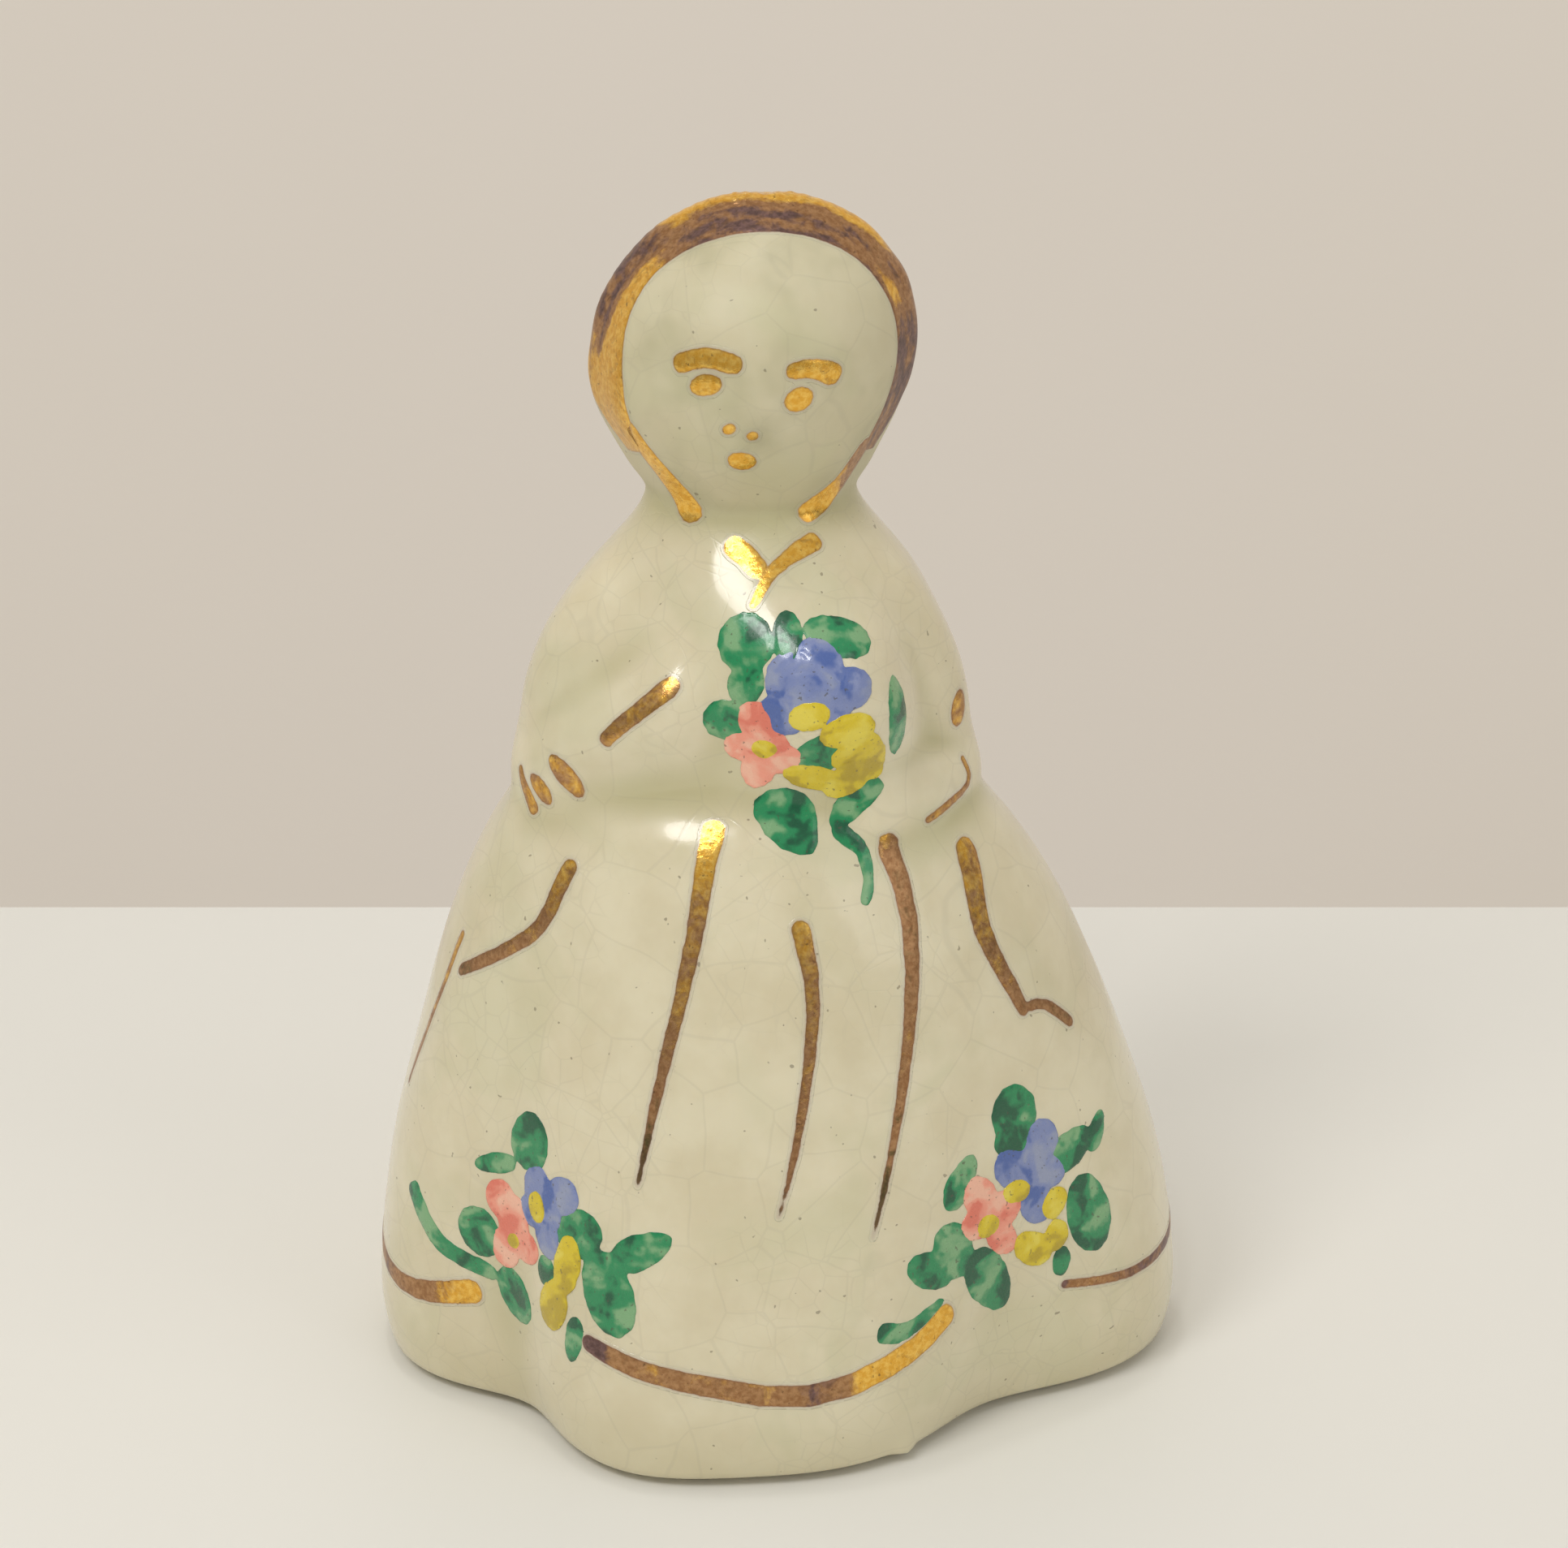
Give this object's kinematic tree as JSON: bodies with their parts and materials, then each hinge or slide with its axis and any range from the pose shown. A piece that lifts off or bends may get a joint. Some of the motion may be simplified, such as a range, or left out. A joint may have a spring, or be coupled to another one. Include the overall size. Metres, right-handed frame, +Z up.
{
  "type": "porcelain figurine hand bell",
  "caption": "Small hand-painted porcelain bell shaped as a lady in a bonnet and wide gown, hollow below, with a ball clapper hung on a wire staple and ring inside.",
  "frame": {"origin": "middle of the skirt's footprint, on the plane that the hem rests on", "axes": "+Z up through the head, -Y towards the front with the face and the posy, +X to the right as seen from the front"},
  "size_m": [0.0508, 0.0381, 0.0748],
  "materials": {
    "porcelain": "gloss",
    "white_bead": "gloss",
    "cement": "matte",
    "brass_wire": "satin",
    "gold_lustre": "polished",
    "green_enamel": "gloss",
    "blue_enamel": "gloss",
    "pink_enamel": "gloss",
    "yellow_enamel": "gloss"
  },
  "bodies": {
    "bell": {"bell_body": "porcelain", "cement_plug": "cement", "staple": "brass_wire", "gold_hair_band": "gold_lustre", "gold_bonnet_ties": "gold_lustre", "gold_face": "gold_lustre", "gold_collar": "gold_lustre", "gold_sleeves": "gold_lustre", "gold_skirt_folds": "gold_lustre", "gold_drapes": "gold_lustre", "gold_hem_swags": "gold_lustre", "posy_leaves": "green_enamel", "posy_blue": "blue_enamel", "posy_pink": "pink_enamel", "posy_yellow": "yellow_enamel", "left_leaves": "green_enamel", "left_blue": "blue_enamel", "left_pink": "pink_enamel", "left_yellow": "yellow_enamel", "right_leaves": "green_enamel", "right_blue": "blue_enamel", "right_pink": "pink_enamel", "right_yellow": "yellow_enamel"},
    "ring": {"hanger_ring": "brass_wire"},
    "clapper": {"clapper_shank": "brass_wire", "clapper_stop": "brass_wire"},
    "ball": {"clapper_ball": "white_bead"}
  },
  "joints": [
    {"name": "ring_swing", "type": "hinge", "parent": "bell", "child": "ring", "pos_m": [-0.00203, 0.0015, 0.0429], "axis": [1, 0, 0], "range_deg": [-13, 11]},
    {"name": "clapper_swing", "type": "hinge", "parent": "ring", "child": "clapper", "pos_m": [-0.00203, 0.0015, 0.04005], "axis": [0, 1, 0], "range_deg": [-28, 24]},
    {"name": "ball_spin", "type": "hinge", "parent": "clapper", "child": "ball", "pos_m": [-0.00203, 0.0015, 0.013], "axis": [0, 0, 1], "continuous": true}
  ]
}
